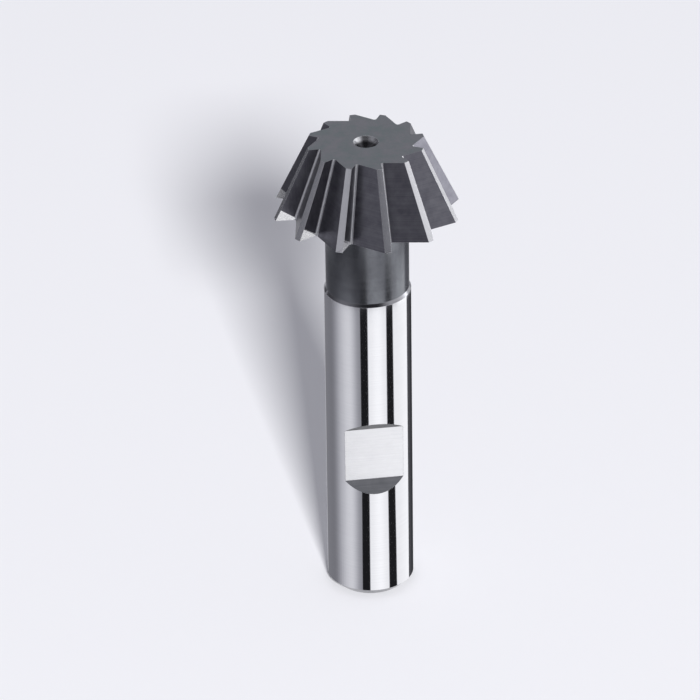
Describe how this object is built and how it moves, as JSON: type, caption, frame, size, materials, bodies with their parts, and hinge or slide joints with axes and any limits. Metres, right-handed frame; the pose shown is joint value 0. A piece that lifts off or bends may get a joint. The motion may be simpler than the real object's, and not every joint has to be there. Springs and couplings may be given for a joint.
{
  "type": "dovetail cutter",
  "caption": "Straight-flute angular shank cutter of the dovetail kind, its toothed cone narrowing towards the free end, on a round shank with a clamping flat.",
  "frame": {"origin": "centre of the shank's end face, on which the cutter stands", "axes": "+Z along the cutter's axis from the shank's end towards the toothed head, -Y out of the clamping flat"},
  "size_m": [0.0256, 0.0256, 0.0691],
  "materials": {
    "cutter": "ground bright shank, dull dark grey head and neck with ground tooth edges"
  },
  "bodies": {
    "root": {"cutter": "cutter"}
  },
  "joints": []
}
